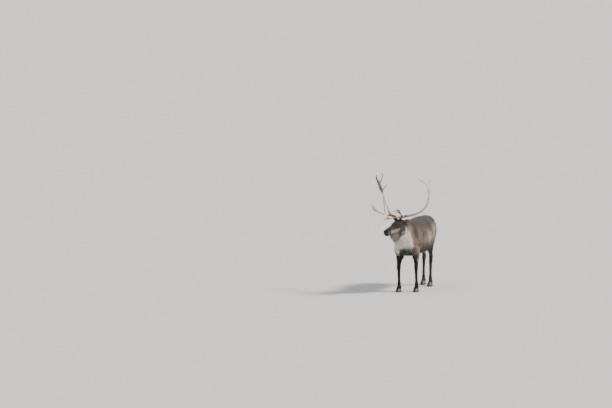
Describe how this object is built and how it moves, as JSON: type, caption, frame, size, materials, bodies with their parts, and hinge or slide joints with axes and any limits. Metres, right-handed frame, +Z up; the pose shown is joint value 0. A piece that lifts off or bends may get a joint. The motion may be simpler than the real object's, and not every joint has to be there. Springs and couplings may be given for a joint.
{
  "type": "reindeer, still model of a standing bull",
  "caption": "Life-size still model of a bull reindeer standing with its head turned to its right, with branching antlers, a hanging neck mane and cloven hooves.",
  "frame": {"origin": "the middle of the whole animal's box on the floor", "axes": "+Z up; the animal faces -Y and its left side is +X"},
  "size_m": [0.9318, 1.8787, 1.9174],
  "materials": {
    "coat": "short grey-brown body coat, darker on the back and face",
    "dark_coat": "short near-black hair of the lower legs and the face",
    "white_coat": "long cream-white hair of the neck, mane and tail",
    "antler": "hard polished bone, stained brown in the grooves, pale at the tips",
    "horn": "black horn of the hooves and dewclaws, worn dull at the edges",
    "eye": "dark wet eye"
  },
  "bodies": {
    "root": {"antler_left_back_tine": "antler", "antler_left_base": "antler", "antler_left_beam": "antler", "antler_left_bez": "antler", "antler_left_bez_point": "antler", "antler_left_brow": "antler", "antler_left_front_tine": "antler", "antler_left_palm": "antler", "antler_left_up_tine": "antler", "antler_right_back_tine": "antler", "antler_right_base": "antler", "antler_right_beam": "antler", "antler_right_bez": "antler", "antler_right_brow": "antler", "antler_right_front_tine": "antler", "antler_right_palm": "antler", "antler_right_shovel": "antler", "antler_right_shovel_point": "antler", "antler_right_up_tine": "antler", "dewclaw_fore_left_inner": "horn", "dewclaw_fore_left_outer": "horn", "dewclaw_fore_right_inner": "horn", "dewclaw_fore_right_outer": "horn", "dewclaw_hind_left_inner": "horn", "dewclaw_hind_left_outer": "horn", "dewclaw_hind_right_inner": "horn", "dewclaw_hind_right_outer": "horn", "ear_left": "coat", "ear_right": "coat", "eye_left": "eye", "eye_right": "eye", "head": "dark_coat", "hoof_fore_left_inner": "horn", "hoof_fore_left_outer": "horn", "hoof_fore_right_inner": "horn", "hoof_fore_right_outer": "horn", "hoof_hind_left_inner": "horn", "hoof_hind_left_outer": "horn", "hoof_hind_right_inner": "horn", "hoof_hind_right_outer": "horn", "leg_fore_left_lower": "dark_coat", "leg_fore_left_upper": "coat", "leg_fore_right_lower": "dark_coat", "leg_fore_right_upper": "coat", "leg_hind_left_lower": "dark_coat", "leg_hind_left_upper": "coat", "leg_hind_right_lower": "dark_coat", "leg_hind_right_upper": "coat", "neck": "white_coat", "tail": "white_coat", "torso": "coat"}
  },
  "joints": []
}
